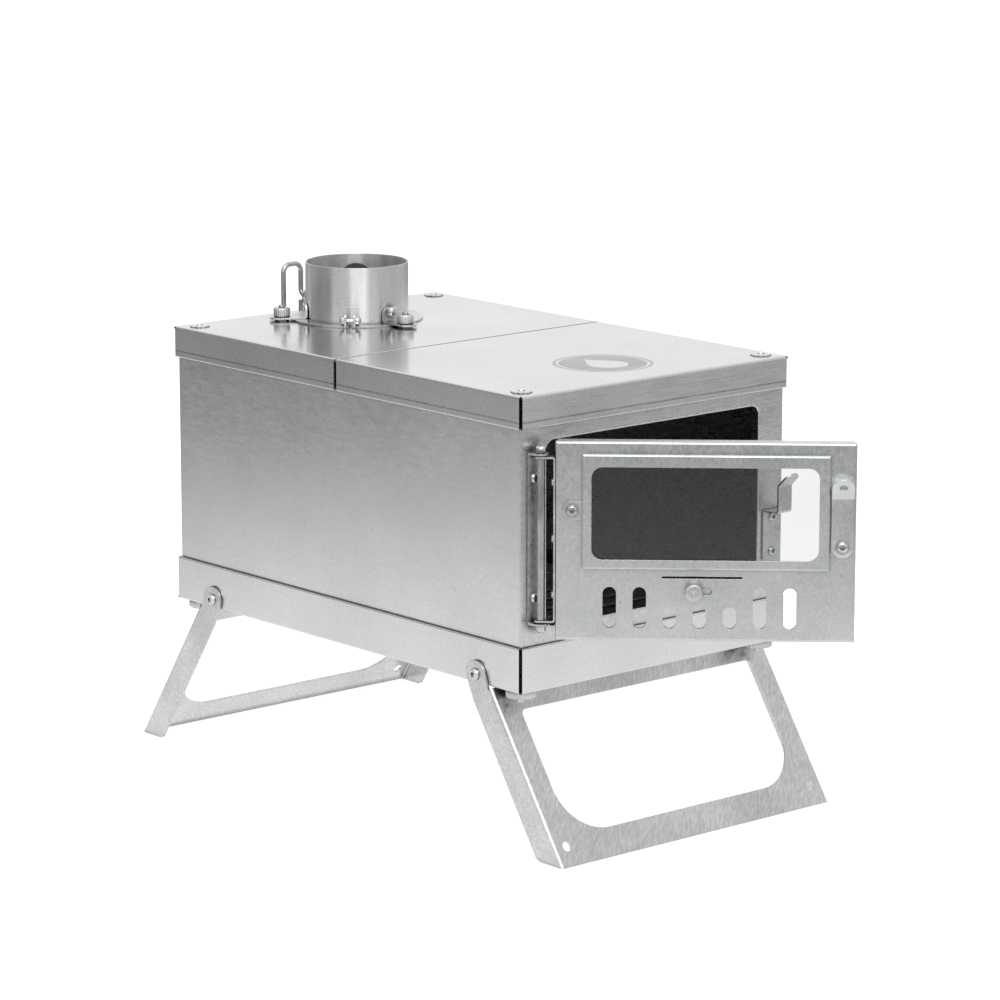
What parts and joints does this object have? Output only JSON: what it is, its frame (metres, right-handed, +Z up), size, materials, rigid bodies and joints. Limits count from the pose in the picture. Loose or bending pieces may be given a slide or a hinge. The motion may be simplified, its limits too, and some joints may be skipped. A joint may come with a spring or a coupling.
{
  "type": "tent wood stove",
  "caption": "Folding-leg sheet steel tent stove with a glass door, air slide, latch, flue collar and damper.",
  "frame": {"origin": "middle of the footprint on the floor, with the legs unfolded and the door part open", "axes": "+Z up, +Y to the back of the stove, +X to its right as seen from the front"},
  "size_m": [0.2282, 0.5193, 0.3156],
  "materials": {
    "body_sheet": "rolled and pickled",
    "lid_sheet": "bright rolled",
    "door_sheet": "satin",
    "leg_strap": "pickled",
    "bright_fastener": "bright plated",
    "spring_wire": "drawn",
    "dark_glass": "smoked heat glass",
    "fibre_gasket": "woven fibre"
  },
  "bodies": {
    "stove_body": {"base_tray": "body_sheet", "left_side_panel": "body_sheet", "right_side_panel": "body_sheet", "front_panel": "body_sheet", "rear_panel": "body_sheet", "fire_grate": "body_sheet", "hinge_fixed_leaf": "body_sheet", "hinge_sleeve": "body_sheet", "latch_catch": "body_sheet", "lid_front": "lid_sheet", "lid_rear": "lid_sheet", "flue_collar": "lid_sheet", "flue_flange": "lid_sheet", "flue_brackets": "lid_sheet", "corner_tie_rods": "bright_fastener", "corner_thumb_nuts": "bright_fastener", "flue_clamp_screw": "bright_fastener", "bracket_rivets": "bright_fastener", "flue_studs": "bright_fastener", "flue_thumb_nuts": "bright_fastener", "hinge_leaf_screws": "bright_fastener", "hinge_pin": "bright_fastener", "hinge_pin_nuts": "bright_fastener", "latch_catch_screws": "bright_fastener", "leg_pivot_screws": "bright_fastener", "leg_pivot_nuts": "bright_fastener"},
    "door": {"door_panel": "door_sheet", "window_frame": "door_sheet", "window_gasket": "fibre_gasket", "window_glass": "dark_glass", "window_frame_screw": "bright_fastener", "hinge_door_leaf": "door_sheet", "door_leaf_screws": "bright_fastener", "latch_pivot_screw": "bright_fastener", "air_slide_guides": "door_sheet"},
    "latch": {"latch_lever": "door_sheet"},
    "air_slide": {"air_slide_plate": "door_sheet", "air_knob": "bright_fastener"},
    "front_legs": {"front_leg": "leg_strap"},
    "rear_legs": {"rear_leg": "leg_strap"},
    "damper": {"damper_handle": "spring_wire", "damper_disc": "spring_wire", "disc_screws": "bright_fastener", "damper_washers": "bright_fastener", "damper_nut": "bright_fastener", "damper_spring": "spring_wire"}
  },
  "joints": [
    {"name": "door_hinge", "type": "hinge", "parent": "stove_body", "child": "door", "pos_m": [-0.097, -0.12365, 0.1914], "axis": [0, 0, 1], "range_deg": [-121.6, 43.4]},
    {"name": "latch_pivot", "type": "hinge", "parent": "door", "child": "latch", "pos_m": [0.02884, -0.24892, 0.1896], "axis": [-0.6871, -0.7266, 0], "range_deg": [-90, 0]},
    {"name": "air_slide_travel", "type": "slide", "parent": "door", "child": "air_slide", "axis": [0.7266, -0.6871, 0], "range_m": [0, 0.00887]},
    {"name": "front_leg_fold", "type": "hinge", "parent": "stove_body", "child": "front_legs", "pos_m": [0, -0.08105, 0.104], "axis": [1, 0, 0], "range_deg": [0, 123.7]},
    {"name": "rear_leg_fold", "type": "hinge", "parent": "stove_body", "child": "rear_legs", "pos_m": [0, 0.18055, 0.104], "axis": [1, 0, 0], "range_deg": [-123.7, 0]},
    {"name": "damper_turn", "type": "hinge", "parent": "stove_body", "child": "damper", "pos_m": [0, 0.16775, 0.2865], "axis": [0, 1, 0], "range_deg": [0, 90]}
  ]
}
